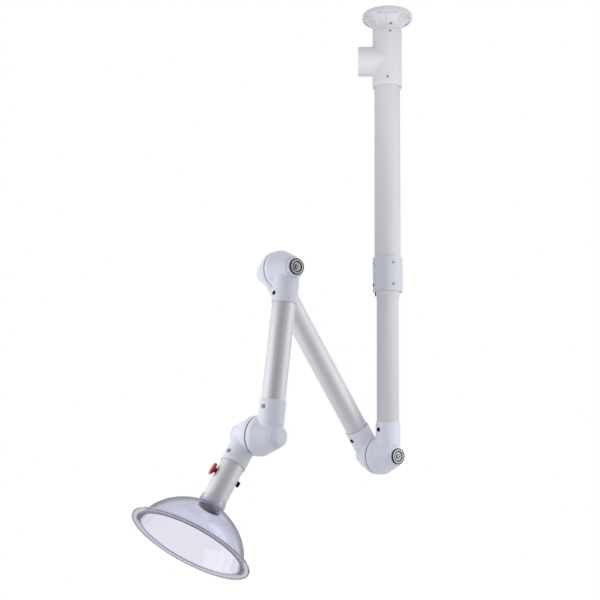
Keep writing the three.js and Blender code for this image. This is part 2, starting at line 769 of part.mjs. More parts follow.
const damper = group(headTube, { position: [0, 0, -DAMPER_FROM_WRIST], turn: [0, 0, DAMPER_AZIMUTH] });
add(damper, "damper_disc", damperDisc(), "white_plastic");
add(damper, "damper_shaft", damperShaft(), "steel");
add(damper, "damper_bush", damperBush(), "black_plastic");
add(damper, "damper_nut", damperNut(), "black_plastic");
add(damper, "damper_knob", damperKnob(), "red_plastic");

export default part;
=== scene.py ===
# Looks of a ceiling-mounted fume extraction arm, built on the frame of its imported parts.
# Outlines are [radius, height] points in millimetres, and finished pieces are in metres.
import json
import math

import bmesh
import bpy
from mathutils import Matrix, Vector


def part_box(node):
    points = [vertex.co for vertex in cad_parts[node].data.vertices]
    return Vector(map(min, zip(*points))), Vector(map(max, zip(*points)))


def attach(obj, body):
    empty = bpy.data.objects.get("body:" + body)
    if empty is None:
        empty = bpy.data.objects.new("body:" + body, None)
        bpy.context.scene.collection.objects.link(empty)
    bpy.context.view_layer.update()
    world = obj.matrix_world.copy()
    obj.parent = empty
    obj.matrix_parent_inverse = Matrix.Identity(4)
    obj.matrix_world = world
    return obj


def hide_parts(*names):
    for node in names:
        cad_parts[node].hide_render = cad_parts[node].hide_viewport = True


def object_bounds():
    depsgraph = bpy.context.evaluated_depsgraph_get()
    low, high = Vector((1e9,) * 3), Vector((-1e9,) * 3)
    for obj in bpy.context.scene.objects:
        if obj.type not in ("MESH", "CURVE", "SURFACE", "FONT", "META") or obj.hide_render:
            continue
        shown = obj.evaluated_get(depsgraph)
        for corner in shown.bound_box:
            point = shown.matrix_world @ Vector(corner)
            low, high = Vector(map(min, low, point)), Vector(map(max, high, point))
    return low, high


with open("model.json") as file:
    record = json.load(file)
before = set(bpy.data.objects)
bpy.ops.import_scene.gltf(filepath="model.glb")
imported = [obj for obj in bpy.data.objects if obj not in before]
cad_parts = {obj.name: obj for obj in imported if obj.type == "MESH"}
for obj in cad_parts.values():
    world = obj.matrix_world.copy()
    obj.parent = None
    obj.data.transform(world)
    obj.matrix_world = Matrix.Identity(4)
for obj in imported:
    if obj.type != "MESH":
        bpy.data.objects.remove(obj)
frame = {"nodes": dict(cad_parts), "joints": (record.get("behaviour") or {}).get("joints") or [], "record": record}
cad_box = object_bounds()

# The joints, and the body and material slot of each node.
JOINTS = {joint["name"]: joint for joint in frame["joints"]}
BODY_OF = {
    node: body
    for body, nodes in frame["record"]["behaviour"]["bodies"].items()
    for node in nodes
}


def joint_spot(name):
    return Vector(JOINTS[name]["pos_m"])


def joint_axis(name):
    return Vector(JOINTS[name]["axis"]).normalized()


MM = 0.001
UP = Vector((0, 0, 1))
ORIGIN = Vector((0, 0, 0))

# Driving dimensions in millimetres. Heights of the column are measured from the ceiling.
TUBE_R = 37.5
TUBE_WALL = 3
AIRWAY_R = TUBE_R - TUBE_WALL
UPPER_TUBE_R = 45
UPPER_TUBE_TOP = -222
UPPER_TUBE_BOTTOM = -932
LOWER_TUBE_TOP = -800

FLANGE_R = 88
FLANGE_RIM = -16.5
FLANGE_RIM_INNER_R = FLANGE_R - 6
FLANGE_FLOOR = -8
FLANGE_NECK = -62
FLANGE_PLUG = -92
FLANGE_PLUG_BORE_R = UPPER_TUBE_R - 4
RIB_COUNT = 8
RIB_WIDTH = 6
BOLT_CIRCLE_R = 74
BOLT_HOLE_R = 4.5

# The spigot is a hair narrower than the tee and its bore starts off the axis, because faces that
# coincide leave a skin in the cut.
TEE_R = 51.5
TEE_SWELL_R = TEE_R + 0.5
TEE_TOP = FLANGE_NECK - 0.6
TEE_BOTTOM = -268
SPIGOT_HEIGHT = -169
SPIGOT_REACH = 103
SPIGOT_R = 51.35
SPIGOT_BORE_R = 47.5
SPIGOT_BORE_START = 21.3

COUPLING_R = 51
COUPLING_TOP = -874
COUPLING_BOTTOM = -994
COUPLING_STEP = 5
UPPER_SCREW_ROW = -897
LOWER_SCREW_ROW = -971
BUSH_RING_R = 40.5
BUSH_TOP = -938
BUSH_BOTTOM = -1008

# Joints, in heights along a joint's axis from its middle. The offset is the height of each tube.
OFFSET = 44
BELL_RIM_R = 62.5
BELL_END = 82
BELL_END_R = 34
BELL_INNER_R = 59
BELL_INNER_END = 77
SOCKET_R = 41.3
SOCKET_END = 112
SOCKET_SEAT = 62
SEAL_GAP = 1.5
SEAL_INNER_R = 51.5
SEAL_OUTER_R = 60.8
SEAL_HALF = 1

CAP_ROOM_R = 13.5
CAP_FACE = 96
CAP_SEAM = 89.6
CAP_SEAM_R = 28.5
CAP_FOOT_GAP = 1.6
KNOB_FOOT = BELL_END + 0.5
KNOB_R = 31.5
KNOB_FACE = 97
KNOB_BORE_R = 6.4
KNOB_HUB_FACE = KNOB_FACE - 1.8
KNOB_RECESS = 89.5
KNOB_RING_R = 26
KNOB_RING_LOW = 91
BEARING_R = 20
BEARING_RIM_R = 23.3
BEARING_BORE_R = 6.2
BEARING_LOW = 89.9
GROOVE_OUTER_R = 17.6
GROOVE_INNER_R = 14.2
GROOVE_FLOOR = 93
SHIELD_FACE = 94.4
SHIELD_PLAY = 0.1
ROD_R = 6
ROD_END = -89.4
THREAD_R = 5

# Damper, in distances along its shaft from the tube's axis.
DAMPER_SEAT = 37.9
DAMPER_BORE_R = 5.4
DAMPER_BUSH_R = 7.5
DAMPER_KNOB_SEAT = 43.3
DAMPER_KNOB_R = 19
DAMPER_KNOB_HEIGHT = 10
DAMPER_KNOB_EDGE = 2.4
SCALLOP_COUNT = 6
SCALLOP_DEPTH = 0.075
DAMPER_NUT_R = 9
DAMPER_NUT_FLOOR = 44.9
DAMPER_NUT_FACE = 46.9
DAMPER_SHAFT_R = 5
DAMPER_SHAFT_ENDS = (-42, 50)
DAMPER_DISC_R = 33.6
DAMPER_DISC_HALF = 1.5

# Hood: its rim's distance along the head, radii, and heights above the rim.
HOOD_FROM_WRIST = 390
HOOD_RIM_R = 191
HOOD_LIP = 6
HOOD_MOUTH_R = 165
HOOD_WALL = 3
HOOD_NECK_TOP = 157
DAMPER_TUBE_END = 125

# Play of a seat and of a sleeve, and reach of a cutter past a face.
PLAY = 0.4
SLEEVE_PLAY = 0.5
PAST = 5
TUBE_START = SOCKET_SEAT + PLAY

# Heads of the screws: radius and height.
CLAMP_SCREW = (7, 3)
SMALL_SCREW = (4, 1.8)

# Chamfers and rounding of edges, segments of turned pieces, and voxels of moulded ones.
CHAMFER = 2
EDGE = 0.8
TUBE_EDGE = 0.6
STEPS = 72
WIDE_STEPS = 96
HOOD_STEPS = 160
ROD_STEPS = 36
SCREW_STEPS = 32
HOLE_STEPS = 24
JOINT_VOXEL = 1.3
FLANGE_VOXEL = 1.22
TEE_VOXEL = 1.55
SHARP = math.radians(24)
CREASE = math.radians(38)
KNOB_RIM_ANGLE = math.radians(60)

# Lines of the arm: each joint's spot and knob direction, and the line of each tube.
SHOULDER = joint_spot("shoulder_hinge")
ELBOW = joint_spot("elbow_hinge")
WRIST = joint_spot("wrist_hinge")
SHOULDER_KNOB = joint_axis("shoulder_knob_turn")
ELBOW_KNOB = joint_axis("elbow_knob_turn")
WRIST_KNOB = joint_axis("wrist_knob_turn")
BOOM_START = SHOULDER - OFFSET * MM * SHOULDER_KNOB
BOOM = (ELBOW - SHOULDER).normalized()
BOOM_LENGTH = (ELBOW - SHOULDER).length / MM
FOREARM_START = ELBOW + OFFSET * MM * ELBOW_KNOB
FOREARM_SPAN = WRIST - OFFSET * MM * WRIST_KNOB - FOREARM_START
FOREARM = FOREARM_SPAN.normalized()
FOREARM_LENGTH = FOREARM_SPAN.length / MM
HEAD_START = WRIST + OFFSET * MM * WRIST_KNOB
HEAD = (joint_spot("damper_turn") - HEAD_START).normalized()
HOOD_RIM = HEAD_START + HOOD_FROM_WRIST * MM * HEAD


def standing(origin, along, across):
    """Place whose Z runs along one direction and whose X leans towards another."""
    z = along.normalized()
    y = z.cross(across).normalized()
    place = Matrix((y.cross(z), y, z)).transposed().to_4x4()
    place.translation = origin
    return place


# Mesh building.
def smooth_outline(points, steps=6):
    """Outline on one smooth curve through a few points."""
    spots = [Vector(point) for point in points]
    spots = [spots[0], *spots, spots[-1]]
    outline = []
    for a, b, c, d in zip(spots, spots[1:], spots[2:], spots[3:]):
        for i in range(steps):
            t = i / steps
            bend = 2 * a - 5 * b + 4 * c - d
            twist = 3 * b - a - 3 * c + d
            outline.append(tuple(b + 0.5 * (t * (c - a) + t * t * bend + t ** 3 * twist)))
    return outline + [tuple(points[-1])]


def ring(inner, outer, low, high):
    return [(inner, low), (outer, low), (outer, high), (inner, high), (inner, low)]


def rod(radius, low, high):
    return [(0, low), (radius, low), (radius, high), (0, high)]


def round_edges(mesh, edges, offset, segments):
    bmesh.ops.bevel(
        mesh,
        geom=edges,
        offset=offset * MM,
        offset_type="OFFSET",
        segments=segments,
        profile=0.5,
        affect="EDGES",
        clamp_overlap=True,
        material=-1,
    )


def soften(mesh, edge):
    """Rounds the sharp edges of a mesh."""
    sharp = [e for e in mesh.edges if e.is_manifold and e.calc_face_angle() > SHARP]
    if edge and sharp:
        round_edges(mesh, sharp, edge, 3)


def turned(outline, edge=EDGE, steps=STEPS):
    """Shape turned about Z."""
    mesh = bmesh.new()
    closed = outline[0] == outline[-1]
    points = outline[:-1] if closed else outline
    verts = [mesh.verts.new((r * MM, 0, h * MM)) for r, h in points]
    pairs = list(zip(verts, verts[1:]))
    if closed:
        pairs.append((verts[-1], verts[0]))
    edges = [mesh.edges.new(pair) for pair in pairs]
    bmesh.ops.spin(
        mesh,
        geom=verts + edges,
        axis=UP,
        cent=(0, 0, 0),
        angle=math.tau,
        steps=steps,
        use_merge=True,
    )
    bmesh.ops.remove_doubles(mesh, verts=mesh.verts, dist=1e-6)
    bmesh.ops.recalc_face_normals(mesh, faces=mesh.faces)
    soften(mesh, edge)
    return mesh


def sharp_turned(outline, steps=WIDE_STEPS):
    """Shape turned about Z with sharp edges, to join or cut with."""
    return turned(outline, edge=0, steps=steps)


def extended(mesh, faces, reach):
    """Makes a solid of flat faces, extended by a vector."""
    grown = bmesh.ops.extrude_face_region(mesh, geom=faces)["geom"]
    lifted = [v for v in grown if isinstance(v, bmesh.types.BMVert)]
    bmesh.ops.translate(mesh, vec=reach, verts=lifted)
    bmesh.ops.recalc_face_normals(mesh, faces=mesh.faces)
    return mesh


def slab(side, width):
    """Plate with a side outline of [x, z] points, centred across Y."""
    mesh = bmesh.new()
    verts = [mesh.verts.new((x * MM, -width * MM / 2, z * MM)) for x, z in side]
    return extended(mesh, [mesh.faces.new(verts)], (0, width * MM, 0))


def moved(mesh, place):
    bmesh.ops.transform(mesh, matrix=place, verts=mesh.verts)
    return mesh


def loose_object(mesh):
    data = bpy.data.meshes.new("loose")
    mesh.to_mesh(data)
    mesh.free()
    obj = bpy.data.objects.new("loose", data)
    bpy.context.scene.collection.objects.link(obj)
    return obj


def fused(solids, hollows=(), voxel=0):
    """Solids joined and hollows cut out of them; a voxel size moulds the edges round."""
    objects = [loose_object(mesh) for mesh in (*solids, *hollows)]
    whole = objects[0]
    for i, tool in enumerate(objects[1:], 1):
        step = whole.modifiers.new("step", "BOOLEAN")
        step.solver = "EXACT"
        step.operation = "UNION" if i < len(solids) else "DIFFERENCE"
        step.object = tool
    if voxel:
        remesh = whole.modifiers.new("voxels", "REMESH")
        remesh.mode = "VOXEL"
        remesh.voxel_size = voxel * MM
        relax = whole.modifiers.new("relax", "SMOOTH")
        relax.factor = 0.5
        relax.iterations = 8
    bpy.context.view_layer.update()
    shown = whole.evaluated_get(bpy.context.evaluated_depsgraph_get())
    made = bmesh.new()
    made.from_mesh(shown.to_mesh())
    for obj in objects:
        bpy.data.objects.remove(obj)
    return made


def add_piece(name, mesh, finish, body, place=None):
    """Makes a finished piece of a mesh, riding on a body."""
    if place is not None:
        moved(mesh, place)
    data = bpy.data.meshes.new(name)
    mesh.to_mesh(data)
    mesh.free()
    data.shade_smooth()
    data.set_sharp_from_angle(angle=CREASE)
    data.materials.append(finish)
    piece = bpy.data.objects.new(name, data)
    bpy.context.scene.collection.objects.link(piece)
    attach(piece, body)
    return piece


def show(node, mesh, finish, place=None):
    """Makes a finished piece that stands for a node of the frame."""
    piece = add_piece(f"{node}_finished", mesh, finish, BODY_OF[node], place)
    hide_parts(node)
    return piece


def coat(node, finish):
    """Gives a node that keeps its own shape a finish."""
    materials = frame["nodes"][node].data.materials
    materials.clear()
    materials.append(finish)


# Shader building.
class Wire:
    """A socket in a shader tree, with sums that add Math nodes."""

    def __init__(self, finish, socket):
        self.finish = finish
        self.socket = socket

    def __add__(self, other):
        return self.finish.math("ADD", self, other)

    def __sub__(self, other):
        return self.finish.math("SUBTRACT", self, other)

    def __rsub__(self, other):
        return self.finish.math("SUBTRACT", other, self)

    def __mul__(self, other):
        return self.finish.math("MULTIPLY", self, other)

    __radd__ = __add__
    __rmul__ = __mul__


class Finish:
    """A shader tree, with one call that adds any node."""

    def __init__(self, owner):
        owner.use_nodes = True
        self.tree = owner.node_tree
        self.tree.nodes.clear()

    def node(self, kind, settings=None, inputs=None, output=0):
        made = self.tree.nodes.new("ShaderNode" + kind)
        for key, value in (settings or {}).items():
            setattr(made, key, value)
        for key, value in (inputs or {}).items():
            if isinstance(value, Wire):
                self.tree.links.new(value.socket, made.inputs[key])
            else:
                made.inputs[key].default_value = value
        return Wire(self, made.outputs[output]) if made.outputs else made

    def math(self, operation, first, second):
        return self.node("Math", {"operation": operation}, {0: first, 1: second})

    def mix(self, factor, first, second):
        return self.node("Mix", {"data_type": "RGBA"}, {0: factor, 6: first, 7: second}, 2)

    def mix_shaders(self, factor, first, second):
        return self.node("MixShader", {}, {0: factor, 1: first, 2: second})

    def ramp(self, value, span, first=0.0, last=1.0):
        """Even change from the first to the last value over a span of readings."""
        low, high = span
        return self.node("MapRange", {}, {0: value, 1: low, 2: high, 3: first, 4: last})

    def spots(self):
        return self.node("TexCoord", output="Object")

    def spots_about(self, origin, along):
        """Spots measured from an origin, with Z along a direction."""
        turn = along.to_track_quat("Z", "Y").to_euler()
        inputs = {"Vector": self.spots(), "Location": origin, "Rotation": turn}
        return self.node("Mapping", {"vector_type": "TEXTURE"}, inputs)

    def times(self, vector, factors):
        return self.node("VectorMath", {"operation": "MULTIPLY"}, {0: vector, 1: factors})

    def from_axis(self, spots):
        """Distance of spots from the Z axis."""
        flat = self.times(spots, (1, 1, 0))
        return self.node("VectorMath", {"operation": "LENGTH"}, {0: flat}, "Value")

    def along(self, spots, axis):
        return self.node("SeparateXYZ", {}, {0: spots}, axis)

    def noise(self, vector, scale, detail=2.0):
        return self.node("TexNoise", {}, {"Vector": vector, "Scale": scale, "Detail": detail})

    def bump(self, height, distance):
        inputs = {"Height": height, "Distance": distance, "Strength": 1.0}
        return self.node("Bump", {}, inputs)

    def ray(self, kind):
        return self.node("LightPath", output=f"Is {kind} Ray")

    def surface(self, **inputs):
        sockets = {key.replace("_", " "): value for key, value in inputs.items()}
        return self.node("BsdfPrincipled", {}, sockets)

    def output(self, kind="Material", **links):
        self.node("Output" + kind, {}, links)


def new_finish(name):
    material = bpy.data.materials.new(name)
    return material, Finish(material)


def rgba(red, green, blue):
    return (red, green, blue, 1.0)


# Refraction of moulded and drawn plastic, and of the hood's sheet.
PLASTIC_IOR = 1.49
SHEET_IOR = 1.42

# Tones of the tubes, with painted shade for their insides, and how metallic the arm's tubes look.
PIPE_DEEP = rgba(0.71, 0.699, 0.738)
PIPE_PALE = rgba(0.752, 0.74, 0.778)
PIPE_INSIDE_SHADE = rgba(0.06, 0.06, 0.068)
ARM_SHEEN = 0.55
DIE_LINES = (250, 250, 2)

# Hood: tones seen face on, along the wall as painted shade, in its painted shade edge lines and through
# its depth; the turn away from the eye over which a painted shade edge line comes up; the shares of
# painted shade in the edge lines and on the lip; and, in metres from the middle of the rim, where the
# neck clears and where the mouth's lip ends.
SHEET_FACE = rgba(0.895, 0.895, 0.95)
SHEET_SIDE_SHADE = rgba(0.60, 0.59, 0.66)
SHEET_LINE_SHADE = rgba(0.13, 0.12, 0.17)
SHEET_DEPTH = rgba(0.60, 0.60, 0.76)
SHEET_DENSITY = 85.0
LINE_TURN = (0.62, 0.88)
LINE_SHADE_SHARE = 0.8
LIP_SHADE_SHARE = 0.3
NECK_HEIGHT = (0.108, 0.124)
NECK_CLEARNESS = 0.7
LIP_RADIUS = (0.166, 0.168)
LIP_HEIGHT = (0.002, 0.005)

# Turned steel, and how far the steel of the joints and the small screws is shaded.
STEEL_DEEP = (0.42, 0.42, 0.45)
STEEL_PALE = (0.56, 0.56, 0.59)
JOINT_SHADE = 0.62
SCREW_SHADE = 0.6


def moulded_finish(name, pale, deep):
    """Satin moulded plastic: faint clouds in its tone and a fine spark-eroded grain."""
    material, finish = new_finish(name)
    spots = finish.spots()
    cloud = finish.noise(spots, 11.0, 4.0)
    grain = finish.noise(spots, 1500.0)
    dimple = finish.noise(spots, 160.0)
    shader = finish.surface(
        Base_Color=finish.mix(cloud, deep, pale),
        Roughness=0.33 + 0.14 * cloud + 0.06 * grain,
        Normal=finish.bump(grain + 2.0 * dimple, 0.00006),
        IOR=PLASTIC_IOR,
    )
    finish.output(Surface=shader)
    return material


def tube_finish(name, origin, along, sheen):
    """Drawn pipe: die lines along it, a satin sheen on the arm's tubes, and painted shade inside: a dull dark
    tone.

    The upper tube is so wide that its inside has the outer skin too.
    """
    material, finish = new_finish(name)
    spots = finish.spots_about(origin, along)
    lines = finish.noise(finish.times(spots, DIE_LINES), 1.0, 3.0)
    cloud = finish.noise(spots, 7.0, 3.0)
    middle_of_wall = (TUBE_R - TUBE_WALL / 2) * MM
    outside = finish.math("GREATER_THAN", finish.from_axis(spots), middle_of_wall)
    skin = finish.mix(cloud, PIPE_DEEP, PIPE_PALE)
    shader = finish.surface(
        # Painted shade: the inside of the wall takes a dark tone for the shade that falls in the bore.
        Base_Color=finish.mix(outside, PIPE_INSIDE_SHADE, skin),
        Roughness=0.95 + outside * (0.10 * lines + 0.08 * cloud - 0.47),
        Metallic=sheen * outside,
        Normal=finish.bump(lines, 0.00008),
        IOR=PLASTIC_IOR,
    )
    finish.output(Surface=shader)
    return material


def clear_finish():
    """Clear formed sheet: painted shade where the wall is seen along, as a darker tone and darker lines, painted
    shade on the mouth's lip, and a clearer neck.
    """
    material, finish = new_finish("clear_hood")
    spots = finish.spots()
    haze = finish.noise(spots, 26.0, 3.0)
    ripple = finish.noise(spots, 14.0, 1.0)
    facing = finish.node("LayerWeight", {}, {"Blend": 0.5}, "Facing")
    edge_shade_mask = finish.ramp(facing, LINE_TURN)
    from_rim = finish.spots_about(HOOD_RIM, HEAD)
    height = -1.0 * finish.along(from_rim, "Z")
    neck = finish.ramp(height, NECK_HEIGHT)
    lip = finish.ramp(finish.from_axis(from_rim), LIP_RADIUS, 1.0, 0.0)
    lip = lip * finish.ramp(height, LIP_HEIGHT, 1.0, 0.0)
    sheet = finish.surface(
        # Painted shade: the tone darkens as the wall turns away from the eye.
        Base_Color=finish.mix(facing * facing, SHEET_FACE, SHEET_SIDE_SHADE),
        Roughness=0.02 + 0.05 * haze,
        Alpha=1.0 - NECK_CLEARNESS * neck,
        Normal=finish.bump(ripple, 0.0006),
        IOR=SHEET_IOR,
        Transmission_Weight=1.0,
    )
    # Painted shade: a dark dull surface mixed in along the edge lines and on the lip.
    painted_edge_shade = finish.surface(Base_Color=SHEET_LINE_SHADE, Roughness=0.6, Specular_IOR_Level=0.1)
    # Share of the painted shade: along the edge lines away from the neck, and on the lip.
    shade_share = LINE_SHADE_SHARE * edge_shade_mask * (1.0 - neck) + LIP_SHADE_SHARE * lip
    depth = {"Color": SHEET_DEPTH, "Density": SHEET_DENSITY}
    finish.output(
        Surface=finish.mix_shaders(shade_share, sheet, painted_edge_shade),
        Volume=finish.node("VolumeAbsorption", {}, depth),
    )
    return material


def rubber_finish(name, deep, dusty):
    """Rubber with a little dust in its grain."""
    material, finish = new_finish(name)
    spots = finish.spots()
    dust = finish.noise(spots, 60.0, 4.0)
    grain = finish.noise(spots, 900.0)
    shader = finish.surface(
        Base_Color=finish.mix(dust, deep, dusty),
        Roughness=0.52 + 0.25 * dust,
        Specular_IOR_Level=0.25,
        Normal=finish.bump(grain, 0.0001),
    )
    finish.output(Surface=shader)
    return material


def dark_plastic_finish(name, deep, pale):
    """Dull plastic of the small black parts."""
    material, finish = new_finish(name)
    spots = finish.spots()
    cloud = finish.noise(spots, 90.0, 3.0)
    grain = finish.noise(spots, 1300.0)
    shader = finish.surface(
        Base_Color=finish.mix(cloud, deep, pale),
        Roughness=0.55 + 0.18 * cloud,
        Specular_IOR_Level=0.25,
        Normal=finish.bump(grain, 0.00006),
    )
    finish.output(Surface=shader)
    return material


def glossy_plastic_finish(name, deep, pale):
    """Shiny plastic of the damper's knob."""
    material, finish = new_finish(name)
    spots = finish.spots()
    cloud = finish.noise(spots, 70.0, 3.0)
    grain = finish.noise(spots, 1200.0)
    shader = finish.surface(
        Base_Color=finish.mix(cloud, deep, pale),
        Roughness=0.25 + 0.15 * cloud,
        Normal=finish.bump(grain, 0.00005),
        Coat_Weight=0.25,
    )
    finish.output(Surface=shader)
    return material


def steel_finish(name, origin, along, shade=1.0):
    """Turned steel: fine rings round an axis, and a dull plated tone where it is shaded."""
    material, finish = new_finish(name)
    spots = finish.spots_about(origin, along)
    rings = finish.node(
        "TexWave",
        {"wave_type": "RINGS", "rings_direction": "Z"},
        {"Vector": spots, "Scale": 420.0, "Distortion": 1.5, "Detail": 2.0},
        "Fac",
    )
    smear = finish.noise(spots, 120.0, 3.0)
    deep = rgba(*(tone * shade for tone in STEEL_DEEP))
    pale = rgba(*(tone * shade for tone in STEEL_PALE))
    shader = finish.surface(
        Base_Color=finish.mix(smear, deep, pale),
        Metallic=1.0,
        Roughness=0.28 + 0.12 * rings + 0.1 * smear,
        Normal=finish.bump(rings, 0.00003),
    )
    finish.output(Surface=shader)
    return material


JOINT_WHITE = moulded_finish(
    "joint_white", rgba(0.856, 0.872, 0.985), rgba(0.82, 0.835, 0.95)
)
# Painted shade: the coupling takes a darker copy of the joints' white.
COUPLING_SHADED_WHITE = moulded_finish(
    "coupling_white_painted_shade", rgba(0.70, 0.715, 0.80), rgba(0.67, 0.68, 0.765)
)
FITTING_WHITE = moulded_finish(
    "fitting_white", rgba(0.79, 0.79, 0.828), rgba(0.755, 0.755, 0.793)
)
CLEAR = clear_finish()
RUBBER = rubber_finish("black_rubber", rgba(0.004, 0.004, 0.005), rgba(0.014, 0.014, 0.016))
SEAL = rubber_finish("grey_seal", rgba(0.05, 0.05, 0.058), rgba(0.09, 0.09, 0.10))
DARK = dark_plastic_finish(
    "black_plastic", rgba(0.003, 0.003, 0.0035), rgba(0.009, 0.009, 0.010)
)
RED = glossy_plastic_finish("red_plastic", rgba(0.40, 0.008, 0.008), rgba(0.52, 0.02, 0.018))
SHAFT_STEEL = steel_finish("shaft_steel", ORIGIN, UP)
DULL_STEEL = steel_finish("dull_steel", ORIGIN, UP, SCREW_SHADE)


# Column: flange, tee, tubes, coupling and bush.
def ceiling_flange():
    flare = smooth_outline([(TEE_R, -44), (56, -30), (66, -18), (FLANGE_RIM_INNER_R, -12)])
    body = sharp_turned(
        [
            (0, FLANGE_FLOOR),
            (FLANGE_PLUG_BORE_R, FLANGE_FLOOR),
            (FLANGE_PLUG_BORE_R, FLANGE_PLUG),
            (UPPER_TUBE_R, FLANGE_PLUG),
            (UPPER_TUBE_R, FLANGE_NECK),
            (TEE_R, FLANGE_NECK),
            *flare,
            (FLANGE_RIM_INNER_R, FLANGE_RIM),
            (FLANGE_R - CHAMFER, FLANGE_RIM),
            (FLANGE_R, FLANGE_RIM + CHAMFER),
            (FLANGE_R, 0),
            (0, 0),
        ]
    )
    rib_foot = TEE_R - 2
    rib_end = FLANGE_RIM_INNER_R + 2
    rib_side = [(rib_foot, -50), (60, -36), (rib_end, -14.5), (rib_end, -6), (rib_foot, -6)]
    ribs = []
    holes = []
    for i in range(RIB_COUNT):
        angle = i * math.tau / RIB_COUNT - math.pi / 2
        ribs.append(moved(slab(rib_side, RIB_WIDTH), Matrix.Rotation(angle, 4, "Z")))
        hole = sharp_turned(rod(BOLT_HOLE_R, -50, PAST), HOLE_STEPS)
        beside = Matrix.Rotation(angle + math.pi / RIB_COUNT, 4, "Z")
        holes.append(moved(hole, beside @ Matrix.Translation((BOLT_CIRCLE_R * MM, 0, 0))))
    return fused([body, *ribs], holes, voxel=FLANGE_VOXEL)


def tee_fitting():
    run = sharp_turned(
        [
            (0, TEE_BOTTOM),
            (TEE_R - 2, TEE_BOTTOM),
            (TEE_SWELL_R, TEE_BOTTOM + 7),
            (TEE_SWELL_R, SPIGOT_HEIGHT - TEE_R),
            (TEE_R, SPIGOT_HEIGHT),
            (TEE_R, TEE_TOP),
            (0, TEE_TOP),
        ]
    )
    end = SPIGOT_REACH
    side = [(0, 0), (SPIGOT_R, 0), (SPIGOT_R, end - CHAMFER), (SPIGOT_R - 1, end), (0, end)]
    spigot = sharp_turned(side)
    run_bore = sharp_turned(rod(UPPER_TUBE_R + SLEEVE_PLAY, TEE_BOTTOM - PAST, 0))
    spigot_bore = sharp_turned(rod(SPIGOT_BORE_R, SPIGOT_BORE_START, end + PAST))
    sideways = standing(Vector((0, 0, SPIGOT_HEIGHT * MM)), Vector((-1, 0, 0)), UP)
    hollows = [run_bore, moved(spigot_bore, sideways)]
    return fused([run, moved(spigot, sideways)], hollows, voxel=TEE_VOXEL)


def tube(low, high, radius=TUBE_R):
    return turned(ring(radius - TUBE_WALL, radius, low, high), TUBE_EDGE, WIDE_STEPS)


def column_coupling():
    """Sleeve on the end of the upper tube, with a step inside that the tube stands on."""
    bore = UPPER_TUBE_R + SLEEVE_PLAY
    step = UPPER_TUBE_BOTTOM - PLAY
    step_bore = UPPER_TUBE_R - TUBE_WALL
    outline = [
        (bore, COUPLING_BOTTOM),
        (COUPLING_R - CHAMFER, COUPLING_BOTTOM),
        (COUPLING_R, COUPLING_BOTTOM + CHAMFER),
        (COUPLING_R, COUPLING_TOP - CHAMFER),
        (COUPLING_R - CHAMFER, COUPLING_TOP),
        (bore, COUPLING_TOP),
        (bore, step),
        (step_bore, step),
        (step_bore, step - COUPLING_STEP),
        (bore, step - COUPLING_STEP),
        (bore, COUPLING_BOTTOM),
    ]
    return turned(outline, steps=WIDE_STEPS)


def swivel_bush():
    """Bush inside the coupling, with the ring that shows below it."""
    bore = TUBE_R + PLAY
    ring_top = COUPLING_BOTTOM + 2
    outline = [
        (bore, BUSH_BOTTOM),
        (BUSH_RING_R - 1, BUSH_BOTTOM),
        (BUSH_RING_R, BUSH_BOTTOM + 2),
        (BUSH_RING_R, ring_top),
        (UPPER_TUBE_R, ring_top),
        (UPPER_TUBE_R, BUSH_TOP),
        (bore, BUSH_TOP),
        (bore, BUSH_BOTTOM),
    ]
    return turned(outline, edge=0.5, steps=WIDE_STEPS)


# Joints: housings, caps, knobs and their hardware, about Z with the knob towards +Z.
def joint_housing():
    """Half of a joint, open at Z 0 and closing along +Z, with its socket along +X."""
    outside = smooth_outline(
        [(BELL_RIM_R, 18), (57, 30), (50, 46), (43.5, 63), (BELL_END_R, BELL_END)]
    )
    bell = sharp_turned([(0, SEAL_GAP), (BELL_RIM_R, SEAL_GAP), *outside, (0, BELL_END)])
    room = sharp_turned(
        [
            (0, 0),
            (BELL_INNER_R, 0),
            (BELL_INNER_R, 14.5),
            (46, 45),
            (30.5, BELL_INNER_END),
            (0, BELL_INNER_END),
        ]
    )
    nose = smooth_outline([(0, 10), (18, 11.5), (30, 15), (38, 26), (SOCKET_R, 38)])
    socket = sharp_turned([*nose, (SOCKET_R, SOCKET_END), (0, SOCKET_END)])
    seat = TUBE_R + PLAY
    mouth = SOCKET_END + 8
    socket_room = sharp_turned(
        [
            (0, 18),
            (AIRWAY_R, 42),
            (AIRWAY_R, SOCKET_SEAT),
            (seat, SOCKET_SEAT),
            (seat, mouth),
            (0, mouth),
        ]
    )
    rod_hole = sharp_turned(rod(ROD_R + 0.8, 0, BELL_END + PAST), HOLE_STEPS)
    spot_face = sharp_turned(rod(BELL_END_R + 1, BELL_END, BELL_END + PAST), STEPS)
    across = standing(Vector((0, 0, OFFSET * MM)), Vector((1, 0, 0)), UP)
    hollows = [room, moved(socket_room, across), rod_hole, spot_face]
    return fused([bell, moved(socket, across)], hollows, voxel=JOINT_VOXEL)


def seal_ring():
    return turned(ring(SEAL_INNER_R, SEAL_OUTER_R, -SEAL_HALF, SEAL_HALF), edge=0.4)


